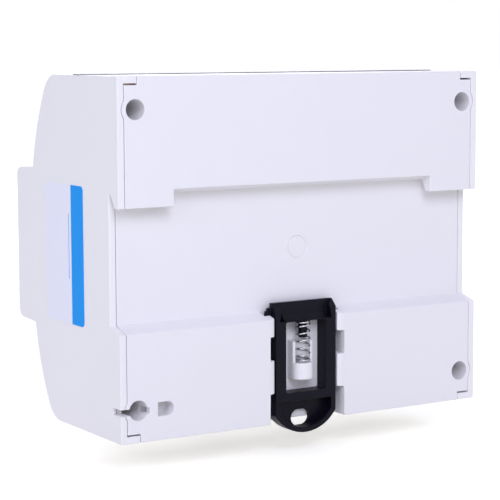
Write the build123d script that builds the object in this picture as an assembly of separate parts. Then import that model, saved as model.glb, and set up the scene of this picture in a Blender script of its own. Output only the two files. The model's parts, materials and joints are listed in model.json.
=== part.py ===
from build123d import *
import os
from math import sqrt

# Three-phase energy meter for a 35 mm mounting rail, seven modules wide, in millimetres.
# X runs across the case, Y points to the rear and Z up, from the middle of the rail seat.
# A depth is counted from the rear plane of the case towards its front.

# Case outline, seen from the side
case_width = 122.0
case_height = 100.0
case_depth = 65.0
seat_depth = 5.7
display_block = 11.1
display_height = 45.9
display_draft = 0.6
display_corner = 2.8
brow_run = 11.3
brow_radius = 70.0
shoulder_radius = 8.4

# Walls and the gaps between mouldings
wall = 2.0
face_wall = 2.5
seam = 0.15
fit_gap = 0.1
base_depth = 22.0
base_side_wall = 1.6
tab_length = 6.0
tab_gap = 0.45

# Rail recess and its hooks
rail_gap = 36.0
rail_slot = 1.1
shelf_drop = 1.8
relief_drop = 0.4
relief_rise = 1.55
hook_length = 17.15
hook_height = 3.65
hook_tip = 2.3
hook_play = 0.05

# Screws that hold the case together, and the path of the seal wire
screw_inset_x = 5.5
screw_inset_z = 9.0
screw_hole = 5.65
screw_boss = 8.2
screw_floor_depth = 17.0
screw_shank = 3.0
screw_head = 5.2
screw_head_height = 2.2
screw_reach = 14.0
post_size = 7.4
wire_slot = 1.8
wire_slot_depth = 4.9
wire_slot_drop = 0.3
wire_slot_length = 9.0
wire_skin = 2.2
seal_pocket_inset = 11.6
seal_pocket_length = 5.0
seal_pocket_height = 3.85
gate_size = 6.8
gate_groove = 0.4
gate_groove_depth = 0.3

# Sliding clip
clip_half = 10.4
clip_rear = 0.9
clip_floor_gap = 0.2
clip_clearance = 0.3
clip_side = 3.5
nose_reach = 2.6
nose_slope = 2.1
nose_thickness = 1.5
nose_tip_depth = 0.95
shoulder_rise = 0.2
shoulder_reach = 1.2
shoulder_height = 1.05
ramp_half = 7.1
ramp_rise = 3.8
ramp_hollow = 0.5
ramp_step = 0.1
ramp_land = 0.25
flank_edge = 0.4
pocket_head = 1.1
pocket_foot = 1.8
window_drop = 3.0
window_corner = 0.6
tab_radius = 12.4
tab_overhang = 3.7
tab_height = 12.1
tab_rim = 1.6
tab_rib = 2.6
tab_floor = 1.3
tab_slot_length = 6.4
tab_slot_height = 4.8
tab_slot_lift = 3.9
ear_length = 6.1
ear_reach = 2.0
ear_thickness = 2.0
peg_size = 2.6
peg_length = 5.0

# Channel that guides the clip, with its snap lips and the spring cup
channel_side = 2.4
lip_clearance = 0.45
lip_bevel = 1.0
upper_lip_length = 6.8
lower_lip_lift = 8.7
lower_lip_length = 9.7
lip_stop = 2.1
cup_half = 3.5
cup_height = 3.0
cup_round_height = 2.0
cup_lift = 3.5
cup_floor = 4.8
cup_wall_length = 6.3
cup_clearance = 0.2
spring_lift = 2.83
spring_size = 4.6
spring_wire = 0.5
spring_turn = 2.2

# Deck in front of the terminals, and the covers over it
deck_room = 25.0
post_root = 4.0
cover_thickness = 1.8
cover_gap = 0.15
cover_cheek = 1.5
cover_screw_inset = 14.0
cover_boss = 9.0
cover_seat = 6.0
cover_pad = 1.6
cover_recess = 6.4
signal_exit_half = 10.0
signal_exit_depth = 5.0
signal_exit_height = 8.0

# Terminals: three phases and neutral, above and below
terminal_count = 4
terminal_margin = 7.0
terminal_size = 15.0
terminal_length = 22.0
terminal_end_gap = 1.5
terminal_clearance = 0.2
terminal_bore = 8.6
terminal_bore_length = 16.0
entry_size = 10.4
rib_thickness = 1.5
rib_overlap = 0.8
ledge_depth = 6.0
clamp_screw = 5.0
clamp_screw_spacing = 9.0
clamp_screw_hole = 6.6
clamp_screw_length = 5.2
clamp_screw_lift = 0.3
clamp_screw_slot = 1.0
bar_width = 10.0
bar_thickness = 2.0
bar_inset = 2.5
bar_insert = 4.0

# Current transformers around the phase bars
ring_gap = 2.0
ring_play = 3.0
ring_height = 13.0
ring_round = 1.2
ring_foot = 12.0

# Circuit boards
board_thickness = 1.6
board_clearance = 0.35
power_board_lift = 1.6
front_room = 6.5
board_post_inset_x = 5.5
board_post_inset_z = 5.45
board_post_size = 6.0
board_screw = 2.5
board_screw_head = 4.6
board_screw_head_height = 1.8
board_screw_reach = 4.0
spacer_inset_x = 13.0
spacer_inset_z = 3.95
spacer_size = 5.0

# Display and controls on the front
glass_margin = 11.0
glass_z = 1.0
glass_width = 64.0
glass_height = 26.0
glass_thickness = 1.3
glass_corner = 1.5
glass_ledge = 2.0
lcd_thickness = 2.8
frame_margin = 3.0
frame_floor = 1.8
lamp_size = 3.0
lamp_spread = 9.0
lamp_lift = 14.0
lamp_proud = 0.2
button_offset = 18.5
button_z = -5.0
button_size = 8.0
button_flange = 10.4
button_flange_thickness = 1.0
button_proud = 0.8
button_travel = 0.8
button_gap = 0.25
button_edge = 0.5
switch_size = 6.0
plunger_size = 3.4
plunger_height = 0.8

# Small parts on the boards
header_x = 8.0
header_inset = 4.95
header_pins = 8
header_spacing = 2.0
header_socket = 3.0
header_socket_height = 8.0
header_carrier = 2.4
header_carrier_height = 2.5
header_pin = 0.6
header_pin_insert = 1.0
chip_x = 8.0
chip_z = 7.0
chip_size = 10.0
chip_height = 1.4
chip_legs = 8
chip_leg_width = 0.4
chip_leg_length = 1.0
chip_leg_height = 0.5
battery_x = -20.0
battery_z = -8.5
battery_size = 20.0
battery_height = 3.2
battery_edge = 0.5
mains_inset = 26.0
mains_core = (22.0, 7.0, 11.0)
mains_bobbin = (15.0, 18.0, 10.0)
mains_round = 2.0
varistor_inset = 6.0
varistor_spacing = 5.0
varistor_z = 5.0
varistor_size = 10.0
varistor_thickness = 3.4
varistor_lift = 0.6
varistor_round = 0.8
varistor_lead = 0.8
capacitor_offset = 9.0
capacitor_spacing = 10.0
capacitor_z = 8.0
capacitor_size = 8.0
capacitor_height = 11.0
capacitor_groove = 0.3

# Strip for the pulse and data wires
signal_ways = 6
signal_spacing = 3.5
signal_gap = 1.55
signal_length = 8.5
signal_height = 6.4
signal_entry = 2.4
signal_entry_start = 1.0
signal_entry_end = 3.5
signal_entry_length = 5.0
signal_screw = 2.2
signal_screw_length = 2.6
signal_screw_slot = 0.5

# Labels
label_rear_depth = 21.2
label_width = 24.0
label_height = 39.6
label_drop = 0.6
label_corner = 1.4
film = 0.12
strip_thickness = 0.22
strip_rear_gap = 0.3
strip_end_gap = 0.2
strip_width = 4.3

# How far a cut runs out past the surface it opens
over = 1.0

# Places on the case that follow from the sizes above
case_half = case_width / 2
case_top = case_height / 2
display_half = display_height / 2
inner_half = case_half - wall
inner_top = case_top - wall
base_half = inner_half - seam
brow_depth = case_depth - display_block
shoulder_depth = brow_depth - brow_run
deck_depth = case_depth - deck_room
deck_front = deck_depth + wall
lens_plane = case_depth - face_wall
display_room = display_half - wall
tab_x = case_half - tab_length
shelf = rail_gap / 2
relief_height = shelf - relief_drop
hook_root_height = shelf + hook_play
hook_edge_height = hook_root_height - hook_height
screw_x = case_half - screw_inset_x
screw_z = case_top - screw_inset_z
wire_slot_z = -screw_z - wire_slot_drop
wire_slot_end = case_half - wire_slot_length
seal_pocket_x = case_half - seal_pocket_inset
screw_places = [(x, z) for x in (-screw_x, screw_x) for z in (-screw_z, screw_z)]

# Places of the clip, its channel and its spring
clip_front = seat_depth - clip_floor_gap
nose_height = nose_reach - shelf
nose_front = clip_front - nose_tip_depth
nose_rear = nose_front - nose_thickness
ramp_floor = nose_rear + ramp_step
clip_shoulder = shoulder_rise - shelf
window_half = clip_half - clip_side
window_top = -shelf - window_drop
tab_bottom = -case_top - tab_overhang
window_bottom = tab_bottom + tab_height
ear_depth = clip_front - ear_thickness
channel_half = clip_half + channel_side
lip_half = clip_half + lip_clearance
lip_depth = ear_depth - clip_clearance
lower_lip_bottom = lower_lip_lift - case_top
lower_lip_top = lower_lip_bottom + lower_lip_length
cup_bottom = window_bottom + cup_lift
cup_seat = cup_bottom + cup_floor
cup_top = cup_seat + cup_wall_length
spring_depth = seat_depth - spring_lift

# Places of the terminals and the parts around them
terminal_spacing = (case_width - 2 * terminal_margin) / terminal_count
terminal_xs = [terminal_spacing * (i - (terminal_count - 1) / 2) for i in range(terminal_count)]
terminal_front = deck_depth - terminal_clearance
terminal_rear = terminal_front - terminal_size
bore_depth = terminal_front - terminal_size / 2
clamp_z = inner_top - terminal_end_gap
terminal_inner_z = clamp_z - terminal_length
bar_depth = terminal_rear + bar_inset
ring_outer = terminal_spacing - ring_gap
ring_inner = bar_width + ring_play
cover_screw_z = case_top - cover_screw_inset
cover_seat_depth = deck_depth + cover_seat
cover_screw_xs = (-terminal_spacing, terminal_spacing)
cover_places = [(x, z) for x in cover_screw_xs for z in (-cover_screw_z, cover_screw_z)]
signal_high = -display_half - signal_gap
signal_low = signal_high - signal_length
signal_z = signal_low + signal_entry_length - signal_screw / 2
signal_places = [(signal_spacing * (i + 0.5 - signal_ways / 2), signal_z) for i in range(signal_ways)]

# Places of the boards, the display and the controls
power_board_depth = deck_depth + power_board_lift
power_board_front = power_board_depth + board_thickness
display_board_depth = lens_plane - front_room
display_board_front = display_board_depth + board_thickness
board_post_x = inner_half - board_post_inset_x
board_post_z = display_room - board_post_inset_z
board_posts = [(x, z) for x in (-board_post_x, board_post_x) for z in (-board_post_z, board_post_z)]
spacer_x = inner_half - spacer_inset_x
spacer_z = display_room - spacer_inset_z
header_z = header_inset - display_room
mains_x = inner_half - mains_inset
glass_x = glass_margin + glass_width / 2 - inner_half
lcd_width = glass_width - 2 * glass_ledge
lcd_height = glass_height - 2 * glass_ledge
lcd_depth = display_board_front + frame_floor
button_x = glass_x + glass_width / 2 + button_offset
lamp_places = [(button_x + side * lamp_spread / 2, button_z + lamp_lift) for side in (-1, 1)]
varistor_xs = [varistor_inset - inner_half + varistor_spacing * i for i in range(3)]
capacitor_xs = [varistor_xs[2] + capacitor_offset + capacitor_spacing * i for i in range(3)]


def side_plane(x=0.0):
    """Plane for a side section: local x is the depth, local y is the height."""
    return Plane(origin=(x, seat_depth, 0), x_dir=(0, -1, 0), z_dir=(-1, 0, 0))


def rear_plane(depth=0.0):
    """Plane for a shape seen from the front: local x is X, local y is Z, it grows to the front."""
    return Plane(origin=(0, seat_depth - depth, 0), x_dir=(1, 0, 0), z_dir=(0, -1, 0))


def plan_plane(z):
    """Plane for a shape seen from below: local x is X, local y is the depth, it grows downwards."""
    return Plane(origin=(0, seat_depth, z), x_dir=(1, 0, 0), z_dir=(0, 0, -1))


def block(x0, x1, depth0, depth1, z0, z1):
    """Rectangular block between two limits in X, in depth and in Z."""
    centre = Pos((x0 + x1) / 2, seat_depth - (depth0 + depth1) / 2, (z0 + z1) / 2)
    return centre * Box(x1 - x0, depth1 - depth0, z1 - z0)


def plate(x, z, width, height, depth0, depth1):
    """Rectangular block centred on a place in X and Z, between two depths."""
    return block(x - width / 2, x + width / 2, depth0, depth1, z - height / 2, z + height / 2)


def rod(x, z, diameter, depth0, depth1):
    """Round bar along the depth."""
    return extrude(rear_plane(depth0) * Pos(x, z) * Circle(diameter / 2), amount=depth1 - depth0)


def slab(half_width, face):
    """Side section carried to both sides of the middle."""
    return extrude(side_plane() * face, amount=half_width, both=True)


def shape_from(points):
    """Flat face with straight sides through the given corners."""
    return make_face(Polyline(*points, close=True))


def arc_middle(start, end, radius):
    """Middle of an arc of a given radius that bows to the front and outwards."""
    run, drop = end[0] - start[0], start[1] - end[1]
    chord = sqrt(run ** 2 + drop ** 2)
    rise = radius - sqrt(radius ** 2 - chord ** 2 / 4)
    return ((start[0] + end[0]) / 2 + rise * drop / chord, (start[1] + end[1]) / 2 + rise * run / chord)


def case_face():
    """Side view of the case: flat top, round shoulder, bowed brow and display block, both halves."""
    shoulder = (shoulder_depth, case_top)
    brow = (brow_depth, display_half)
    corner = (case_depth, display_half - display_draft)
    with BuildSketch() as half:
        with BuildLine():
            Polyline(brow, corner, (case_depth, 0), (0, 0), (0, case_top), shoulder)
            ThreePointArc(shoulder, arc_middle(shoulder, brow, brow_radius), brow)
        make_face()
        fillet(half.vertices().sort_by_distance((*shoulder, 0))[0], shoulder_radius)
        fillet(half.vertices().sort_by_distance((*corner, 0))[0], display_corner)
    return half.sketch + mirror(half.sketch, about=Plane.XZ)


def rail_notch(hooked):
    """Rail recess in the side view: sloped shelf below, and above it a hook or a plain relief."""
    if hooked:
        upper = [
            (seat_depth, hook_root_height),
            (seat_depth - rail_slot, hook_root_height),
            (hook_tip, hook_edge_height),
            (-over, hook_edge_height),
        ]
    else:
        upper = [
            (seat_depth, relief_height),
            (0, relief_height + relief_rise),
            (-over, relief_height + relief_rise),
        ]
    rear = -shelf - shelf_drop
    return shape_from([(-over, rear), (0, rear), (seat_depth, -shelf), *upper])


def wire_path():
    """Cut for the seal wire: a slot in from the side, a tunnel behind the skin and a round pocket."""
    low, high = wire_slot_z - wire_slot / 2, wire_slot_z + wire_slot / 2
    radius = seal_pocket_height / 2
    straight = seal_pocket_length - radius
    pocket_x = seal_pocket_x - straight
    slot = block(wire_slot_end, case_half + over, -over, wire_slot_depth, low, high)
    tunnel = block(pocket_x, wire_slot_end, wire_skin, wire_slot_depth, low, high)
    outline = Pos(pocket_x, wire_slot_z) * Circle(radius)
    outline += Pos(pocket_x + straight / 2, wire_slot_z) * Rectangle(straight, seal_pocket_height)
    pocket = extrude(rear_plane(-over) * outline, amount=wire_slot_depth + over)
    return slot, tunnel, pocket


def rear_base():
    """White tray: rail recess with two hooks, clip channel with its lips and spring cup, screw bosses."""
    tray = Pos(base_depth / 2, 0) * Rectangle(base_depth, case_height)
    room = Pos(base_depth, 0) * Rectangle(2 * base_depth, case_height) - rail_notch(False)
    base = slab(base_half, tray - rail_notch(True))
    base -= slab(base_half - base_side_wall, offset(room, -wall, kind=Kind.INTERSECTION))

    # solid stock for the channel, the bosses and the seal wire
    base += block(-channel_half - wall, channel_half + wall, 0, seat_depth + wall, -case_top, -shelf)
    stock_x = seal_pocket_x - seal_pocket_length - wall
    stock_half = seal_pocket_height / 2 + wall / 2
    stock_depth = wire_slot_depth + wall / 2
    base += block(stock_x, screw_x, 0, stock_depth, wire_slot_z - stock_half, wire_slot_z + stock_half)
    base += [rod(x, z, screw_boss, 0, screw_floor_depth + wall) for x, z in screw_places]

    # corners that leave room for the tabs of the front shell
    for side in (-1, 1):
        low, high = sorted((side * (tab_x - seam), side * case_half))
        base -= block(low, high, -over, base_depth + over, inner_top - tab_gap, case_top + over)
        base -= block(low, high, -over, base_depth + over, -case_top - over, tab_gap - inner_top)

    # screw holes, seal wire and the mark of the mould gate
    base -= [rod(x, z, screw_hole, -over, screw_floor_depth) for x, z in screw_places]
    shank = screw_shank + 2 * fit_gap
    base -= [rod(x, z, shank, 0, screw_floor_depth + wall + over) for x, z in screw_places]
    base -= list(wire_path())
    ring = Circle(gate_size / 2) - Circle(gate_size / 2 - gate_groove)
    base -= extrude(rear_plane(seat_depth) * ring, amount=gate_groove_depth)

    # channel, its snap lips and the relief between the hooks
    base -= block(-channel_half, channel_half, -over, seat_depth, -case_top - over, over - shelf)
    for side in (-1, 1):
        base += clip_lip(side, -shelf, upper_lip_length)
        base += clip_lip(side, lower_lip_top, lower_lip_length)
        low, high = sorted((side * lip_half, side * channel_half))
        base += block(low, high, lip_bevel, seat_depth, lower_lip_top - lip_stop, lower_lip_top)
    base += spring_cup()
    base -= slab(case_half - hook_length, rail_notch(False))
    return base


def clip_lip(side, top, length):
    """Snap lip of the channel, bevelled at the rear, with room for an ear of the clip in front of it."""
    inner, outer = side * lip_half, side * channel_half
    snap = shape_from([(outer, 0), (inner, lip_bevel), (inner, lip_depth), (outer, lip_depth)])
    return extrude(plan_plane(top) * snap, amount=length)


def spring_cup():
    """Half-round cup on the channel floor, cut open to the rear where the end of the spring stands in it."""
    section = Pos(0, seat_depth - cup_round_height) * Circle(cup_half)
    section += Pos(0, seat_depth) * Rectangle(2 * cup_half, 2 * cup_round_height)
    section &= Pos(0, seat_depth / 2) * Rectangle(2 * cup_half, seat_depth)
    cup = extrude(plan_plane(cup_top) * section, amount=cup_top - cup_bottom)
    cup -= block(-cup_half, cup_half, -over, seat_depth - cup_height, cup_seat, cup_top)
    bore = Pos(0, spring_depth) * Circle(spring_size / 2 + cup_clearance)
    return cup - extrude(plan_plane(cup_top + over) * bore, amount=cup_wall_length + over)


def rail_clip():
    """Black sliding clip: sloped nose, window with the spring peg, ears and a rounded pull tab."""
    tab_z = tab_bottom + tab_radius
    profile = shape_from([
        (clip_rear, tab_bottom),
        (clip_rear, nose_height - nose_slope),
        (nose_rear, nose_height),
        (nose_front, nose_height),
        (nose_front, clip_shoulder),
        (clip_front, clip_shoulder),
        (clip_front, tab_bottom),
    ])
    height = nose_height - tab_z
    outline = Pos(0, tab_z + height / 2) * Rectangle(2 * clip_half, height)
    outline += Pos(0, tab_z) * (Circle(tab_radius) & Rectangle(2 * clip_half, 2 * tab_radius))
    clip = slab(clip_half, profile) & extrude(rear_plane() * outline, amount=seat_depth)

    # hollow ramp behind the nose, over which the rail's edge slides, with a pocket at each end
    top, foot = window_top + ramp_rise, window_top + ramp_land
    middle = ((clip_rear + ramp_floor) / 2 + ramp_hollow, (foot + top) / 2 - ramp_hollow)
    hollow = ThreePointArc((clip_rear, foot), middle, (ramp_floor, top))
    deep = ramp_floor + over
    low = foot - over
    back = Polyline((ramp_floor, top), (deep, top), (deep, low), (clip_rear, low), (clip_rear, foot))
    corner = clip_half - flank_edge
    half = [(corner, nose_height + over), (corner, nose_height)]
    half += [(ramp_half + pocket_head, top), (ramp_half + pocket_foot, foot)]
    scoop = shape_from(half + [(-x, z) for x, z in reversed(half)])
    recess = extrude(rear_plane(-over) * scoop, amount=ramp_floor + over)
    clip -= recess - slab(ramp_half, make_face([hollow, back]))

    # window and pull tab
    window = Pos(0, (window_top + window_bottom) / 2)
    window *= RectangleRounded(2 * window_half, window_top - window_bottom, window_corner)
    clip -= extrude(rear_plane() * window, amount=seat_depth)
    pocket_top = window_bottom - tab_rib
    pocket = Pos(0, tab_z) * Circle(tab_radius - tab_rim)
    pocket &= Pos(0, pocket_top - tab_radius) * Rectangle(2 * (clip_half - tab_rim), 2 * tab_radius)
    clip -= extrude(rear_plane() * pocket, amount=clip_front - tab_floor)
    slot = Pos(0, tab_bottom + tab_slot_lift) * SlotOverall(tab_slot_length, tab_slot_height)
    clip -= extrude(rear_plane() * slot, amount=seat_depth)

    # shoulders, ears that run under the lips of the channel, and the peg inside the spring
    shoulder_top = clip_shoulder + shoulder_height
    ear_bottom = clip_shoulder - ear_length
    lower_top = lower_lip_top - lip_stop - clip_clearance
    for side in (-1, 1):
        shoulder = sorted((side * clip_half, side * (clip_half + shoulder_reach)))
        ear = sorted((side * clip_half, side * (clip_half + ear_reach)))
        clip += block(*shoulder, ear_depth, nose_front, clip_shoulder, shoulder_top)
        clip += block(*shoulder, ear_depth, clip_front, ear_bottom, clip_shoulder)
        clip += block(*ear, ear_depth, clip_front, lower_top - ear_length, lower_top)
    peg = Pos(0, spring_depth) * Circle(peg_size / 2)
    return clip + extrude(plan_plane(window_top + over) * peg, amount=peg_length + over)


def clip_spring():
    """Open coil spring between the seat of the cup and the top of the clip window."""
    free_height = window_top - cup_seat - spring_wire - 2 * fit_gap
    path = Helix(spring_turn, free_height, (spring_size - spring_wire) / 2)
    wire = Plane(origin=path @ 0, z_dir=path % 0) * Circle(spring_wire / 2)
    coil = sweep(wire, path=path)
    return Pos(0, seat_depth - spring_depth, cup_seat + spring_wire / 2 + fit_gap) * coil


def terminal_ribs(x, side):
    """Pocket for one terminal block: two ribs and a ledge under its inner end."""
    room = terminal_size / 2 + terminal_clearance
    inner_end = side * (terminal_inner_z - rib_thickness)
    ends = sorted((inner_end, side * inner_top))
    rear = terminal_rear - rib_overlap
    ribs = [
        block(x - room - rib_thickness, x - room, rear, deck_depth, *ends),
        block(x + room, x + room + rib_thickness, rear, deck_depth, *ends),
    ]
    ledge = sorted((inner_end, side * (terminal_inner_z - terminal_clearance)))
    ribs.append(block(x - room, x + room, deck_depth - ledge_depth, deck_depth, *ledge))
    return ribs


def clamp_screw_zs(side):
    """Heights of the two clamp screws of a terminal block, centred on its bore."""
    middle = clamp_z - terminal_bore_length / 2
    return [side * (middle - clamp_screw_spacing / 2), side * (middle + clamp_screw_spacing / 2)]


def front_shell():
    """White shell: side walls with the rail notch, deck, terminal pockets and the display block."""
    shell = slab(case_half, case_face() - rail_notch(True))
    reach = base_depth + seam
    shell -= block(-inner_half, inner_half, -over, deck_depth, -inner_top, inner_top)
    shell -= block(-tab_x, tab_x, -over, reach, -case_top - over, case_top + over)
    shell -= block(-inner_half, inner_half, reach, lens_plane, -display_room, display_room)
    for low, high in ((display_half, case_top + over), (-case_top - over, -display_half)):
        shell -= block(-inner_half, inner_half, deck_front, case_depth + over, low, high)

    # pockets, posts for the case screws, for the covers and for the display board
    for side in (-1, 1):
        for x in terminal_xs:
            shell += terminal_ribs(x, side)
    post_rear = screw_floor_depth + wall + seam
    shell += [rod(x, z, post_size, post_rear, deck_depth) for x, z in screw_places]
    post_front = cover_seat_depth - cover_gap
    shell += [rod(x, z, post_size, deck_depth - post_root, post_front) for x, z in cover_places]
    shell += [rod(x, z, board_post_size, display_board_front, lens_plane) for x, z in board_posts]

    # holes for screws
    shank = screw_shank + 2 * fit_gap
    shell -= [rod(x, z, screw_boss + 2 * seam, -over, reach) for x, z in screw_places]
    shell -= [rod(x, z, shank, 0, screw_floor_depth + screw_reach + over) for x, z in screw_places]
    shell -= [rod(x, z, shank, deck_depth - post_root, case_depth) for x, z in cover_places]
    thread = board_screw + 2 * fit_gap
    thread_end = display_board_front + board_screw_reach
    shell -= [rod(x, z, thread, display_board_depth, thread_end) for x, z in board_posts]
    clamp_places = [(x, z) for x in terminal_xs for side in (-1, 1) for z in clamp_screw_zs(side)]
    shell -= [rod(x, z, clamp_screw_hole, deck_depth - over, deck_front + over) for x, z in clamp_places]

    # wire entries, seal wire slot, display window, lamps and button
    for x in terminal_xs:
        entry = Pos(x, bore_depth) * Circle(entry_size / 2)
        shell -= extrude(plan_plane(case_top + over) * entry, amount=wall + 2 * over)
        shell -= extrude(plan_plane(over - inner_top) * entry, amount=wall + 2 * over)
    shell -= wire_path()[0]
    glass = Pos(glass_x, glass_z) * RectangleRounded(glass_width, glass_height, glass_corner)
    opening = Pos(glass_x, glass_z) * Rectangle(lcd_width, lcd_height)
    shell -= extrude(rear_plane(case_depth - glass_thickness - fit_gap) * glass, amount=2 * glass_thickness)
    rear, front = lens_plane - over, case_depth + over
    shell -= extrude(rear_plane(rear) * opening, amount=front - rear)
    shell -= [rod(x, z, lamp_size + 2 * fit_gap, rear, front) for x, z in lamp_places]
    return shell - rod(button_x, button_z, button_size + 2 * button_gap, rear, front)


def terminal_cover(side):
    """Curved cover between the side walls over one row of clamp screws, with cheeks and two bosses."""
    rear, low = deck_front + cover_gap, display_half + cover_gap
    high = case_top + over
    room = shape_from([(rear, low), (case_depth, low), (case_depth, high), (rear, high)])
    face = case_face()
    outer = face & room
    inner = offset(face, -cover_thickness, kind=Kind.INTERSECTION)
    half = inner_half - seam
    cover = slab(half, outer - inner)
    cover += extrude(side_plane(half) * outer, amount=cover_cheek)
    cover += extrude(side_plane(-half + cover_cheek) * outer, amount=cover_cheek)
    skin = slab(half, outer)
    for x in cover_screw_xs:
        cover += rod(x, cover_screw_z, cover_boss, cover_seat_depth, case_depth) & skin
        cover -= rod(x, cover_screw_z, cover_recess, cover_seat_depth + cover_pad, case_depth)
        cover -= rod(x, cover_screw_z, screw_shank + 2 * fit_gap, deck_depth, case_depth)
    if side < 0:
        exit_front, exit_low = deck_front + signal_exit_depth, inner_top - signal_exit_height
        cover -= block(-signal_exit_half, signal_exit_half, deck_depth, exit_front, exit_low, high)
        cover = mirror(cover, about=Plane.XY)
    return cover


def cross_screw(x, z, head, head_height, shank, reach, seat):
    """Screw with a cross slot in a round head; its head stands on seat and its shank goes to the front."""
    screw = rod(x, z, head, seat - head_height, seat) + rod(x, z, shank, seat, seat + reach)
    arm = head * 0.6
    cut = Rectangle(arm, head * 0.15) + Rectangle(head * 0.15, arm)
    return screw - extrude(rear_plane(seat - head_height) * Pos(x, z) * cut, amount=head_height / 2)


def cover_screw(x, z):
    """Cover screw, driven from the front: slotted head above its shank."""
    seat = cover_seat_depth + cover_pad
    screw = rod(x, z, screw_head, seat, seat + screw_head_height) + rod(x, z, screw_shank, deck_depth, seat)
    slot = Pos(x, z) * Rectangle(screw_head + over, screw_head * 0.18)
    return screw - extrude(rear_plane(seat + screw_head_height / 2) * slot, amount=screw_head_height)


def terminal_block(x, side):
    """Brass block: wire bore from outside, slot for the bar, two threaded cross holes."""
    body = block(
        x - terminal_size / 2,
        x + terminal_size / 2,
        terminal_rear,
        terminal_front,
        terminal_inner_z,
        clamp_z,
    )
    bore = Pos(x, bore_depth) * Circle(terminal_bore / 2)
    body -= extrude(plan_plane(clamp_z + over) * bore, amount=terminal_bore_length + over)
    body -= bus_bar(x, fit_gap / 2)
    thread = clamp_screw + 2 * fit_gap
    body -= [rod(x, z, thread, bore_depth, terminal_front + over) for z in clamp_screw_zs(1)]
    return body if side > 0 else mirror(body, about=Plane.XY)


def bus_bar(x, extra=0.0):
    """Copper bar that joins the upper and the lower terminal block of one conductor."""
    half_width = bar_width / 2 + extra
    half_depth = bar_thickness / 2 + extra
    end = terminal_inner_z + bar_insert + extra
    return block(x - half_width, x + half_width, bar_depth - half_depth, bar_depth + half_depth, -end, end)


def clamp_screws(side):
    """Eight slotted clamp screws of one row of terminals."""
    tip = bore_depth + terminal_bore / 2 + clamp_screw_lift
    screws = []
    for x in terminal_xs:
        for z in clamp_screw_zs(side):
            screw = rod(x, z, clamp_screw, tip, tip + clamp_screw_length)
            slot = Pos(x, z) * Rectangle(clamp_screw + over, clamp_screw_slot)
            slot_depth = tip + clamp_screw_length - clamp_screw_slot
            screws.append(screw - extrude(rear_plane(slot_depth) * slot, amount=2 * clamp_screw_slot))
    return Compound(children=screws)


def current_transformer(x):
    """Moulded ring around a phase bar, on a foot that stands on the power board."""
    ring = Cylinder(ring_outer / 2, ring_height) - Cylinder(ring_inner / 2, ring_height)
    ring = Pos(x, seat_depth - bar_depth, 0) * fillet(ring.edges().filter_by(GeomType.CIRCLE), ring_round)
    foot_start = bar_depth + (ring_inner + ring_outer) / 4
    return ring + plate(x, 0, ring_foot, ring_foot * 0.75, foot_start, power_board_depth)


def circuit_board(depth):
    """Plain board that fills the display block."""
    width, height = 2 * (inner_half - board_clearance), 2 * (display_room - board_clearance)
    return plate(0, 0, width, height, depth, depth + board_thickness)


def display_board():
    """Front board with holes for the posts' screws."""
    holes = [rod(x, z, board_screw + 2 * fit_gap, 0, case_depth) for x, z in board_posts]
    return circuit_board(display_board_depth) - holes


def board_screws():
    """Four cross screws that hold the display board to the posts of the shell."""
    reach = board_thickness + board_screw_reach - over
    return Compound(children=[
        cross_screw(x, z, board_screw_head, board_screw_head_height, board_screw, reach, display_board_depth)
        for x, z in board_posts
    ])


def board_spacers():
    """Four hexagonal pillars that keep the two boards apart."""
    outline = RegularPolygon(spacer_size / 2, 6)
    length = display_board_depth - power_board_front
    pillars = [
        extrude(rear_plane(power_board_front) * Pos(x, z) * outline, amount=length)
        for x in (-spacer_x, spacer_x)
        for z in (-spacer_z, spacer_z)
    ]
    return Compound(children=pillars)


def board_header():
    """Plug strip that joins the two boards: socket body, pin carrier and a row of pins."""
    length = header_pins * header_spacing
    socket_top = power_board_front + header_socket_height
    carrier_rear = display_board_depth - header_carrier_height
    header = plate(header_x, header_z, length, header_socket, power_board_front, socket_top)
    header += plate(header_x, header_z, length, header_carrier, carrier_rear, display_board_depth)
    for i in range(header_pins):
        x = header_x + header_spacing * (i + 0.5) - length / 2
        pin_rear, pin_front = socket_top - header_pin_insert, carrier_rear + header_pin_insert
        header += plate(x, header_z, header_pin, header_pin, pin_rear, pin_front)
    return header


def metering_chip():
    """Flat square package with legs on all four sides, on the rear of the display board."""
    rear, foot = display_board_depth - chip_height, display_board_depth - chip_leg_height
    chip = plate(chip_x, chip_z, chip_size, chip_size, rear, display_board_depth - fit_gap)
    span = chip_size + 2 * chip_leg_length
    for i in range(chip_legs):
        place = chip_size * 0.9 * ((i + 0.5) / chip_legs - 0.5)
        chip += plate(chip_x, chip_z + place, span, chip_leg_width, foot, display_board_depth)
        chip += plate(chip_x + place, chip_z, chip_leg_width, span, foot, display_board_depth)
    return chip


def rtc_battery():
    """Coin cell flat on the rear of the display board."""
    cell = rod(battery_x, battery_z, battery_size, display_board_depth - battery_height, display_board_depth)
    return fillet(cell.edges().filter_by(GeomType.CIRCLE), battery_edge)


def supply_transformer():
    """Small laminated transformer on the power board: core with a bobbin through it."""
    core, bobbin = [
        plate(mains_x, 0, width, length, power_board_front, power_board_front + height)
        for width, length, height in (mains_core, mains_bobbin)
    ]
    return core + fillet(bobbin.edges().filter_by(Axis.Y), mains_round)


def filter_capacitors():
    """Three electrolytic cans that stand on the power board, each with a rolled groove."""
    cans = []
    ring = Circle(capacitor_size) - Circle(capacitor_size / 2 - capacitor_groove)
    groove_plane = rear_plane(power_board_front + capacitor_size / 5)
    for x in capacitor_xs:
        can = rod(x, capacitor_z, capacitor_size, power_board_front, power_board_front + capacitor_height)
        cans.append(can - extrude(groove_plane * Pos(x, capacitor_z) * ring, amount=capacitor_size / 10))
    return Compound(children=cans)


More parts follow.
